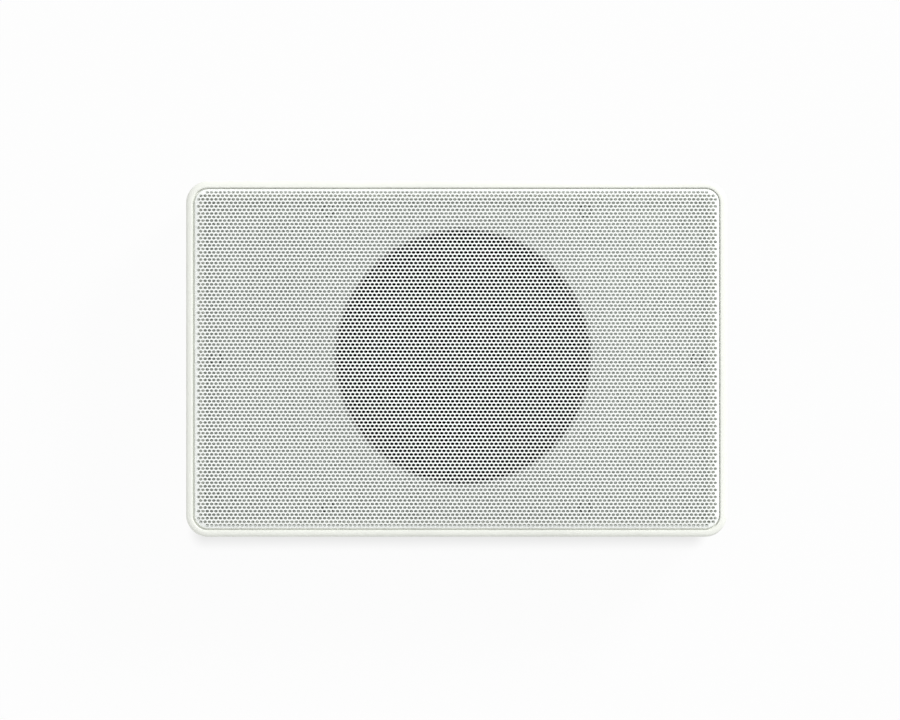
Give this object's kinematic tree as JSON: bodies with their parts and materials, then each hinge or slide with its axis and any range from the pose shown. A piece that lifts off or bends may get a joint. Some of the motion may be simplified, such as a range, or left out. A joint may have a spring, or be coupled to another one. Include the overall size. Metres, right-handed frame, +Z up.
{
  "type": "flat wall speaker",
  "caption": "Shallow wall speaker with a rounded rectangular case, a thin front rim, a perforated metal grille and a round cone driver behind it.",
  "frame": {"origin": "centre of the case's flat back face, which lies on the wall", "axes": "+Z up, +X to the right seen from the front, +Y into the wall, so that the grille faces -Y"},
  "size_m": [0.26, 0.055, 0.171],
  "materials": {
    "housing": "fine moulded texture, off-white",
    "frame": "smooth satin white",
    "baffle": "matt pale grey",
    "grille": "white powder coat on perforated steel",
    "seal": "black foam rubber",
    "screws": "zinc plated",
    "black_screws": "blackened steel",
    "basket": "black paint on stamped steel",
    "surround": "satin black rubber",
    "cone": "black pressed paper",
    "dust_cap": "black pressed paper",
    "spider": "treated cotton cloth",
    "former": "wrapped paper tube",
    "winding": "enamelled copper wire",
    "motor_steel": "zinc plated",
    "magnet": "ground ferrite",
    "board": "hard paper board",
    "contacts": "plain brass",
    "braid": "braided tinsel wire",
    "leads": "soft sleeve",
    "block": "plain moulding",
    "grommet": "matt black rubber",
    "felt": "loose felt"
  },
  "bodies": {
    "cabinet": {"rear_housing": "housing", "case_seal": "seal", "front_frame": "frame", "baffle": "baffle", "grille": "grille", "case_screws": "screws", "driver_gasket": "seal", "driver_basket": "basket", "driver_screws": "black_screws", "top_plate": "motor_steel", "ring_magnet": "magnet", "yoke": "motor_steel", "tag_board": "board", "tags": "contacts", "inner_leads": "leads", "terminal_block": "block", "terminal_screws": "contacts", "cable_grommet": "grommet", "damping_pad": "felt"},
    "cone_assembly": {"cone": "cone", "dust_cap": "dust_cap", "coil_former": "former", "coil_winding": "winding", "surround": "surround", "spider": "spider", "tinsel_leads": "braid"}
  },
  "joints": [
    {"name": "cone_stroke", "type": "slide", "parent": "cabinet", "child": "cone_assembly", "axis": [0, -1, 0], "range_m": [-0.002, 0.002], "stiffness_N_per_m": 3000, "deforming": ["surround", "spider", "tinsel_leads"]}
  ]
}
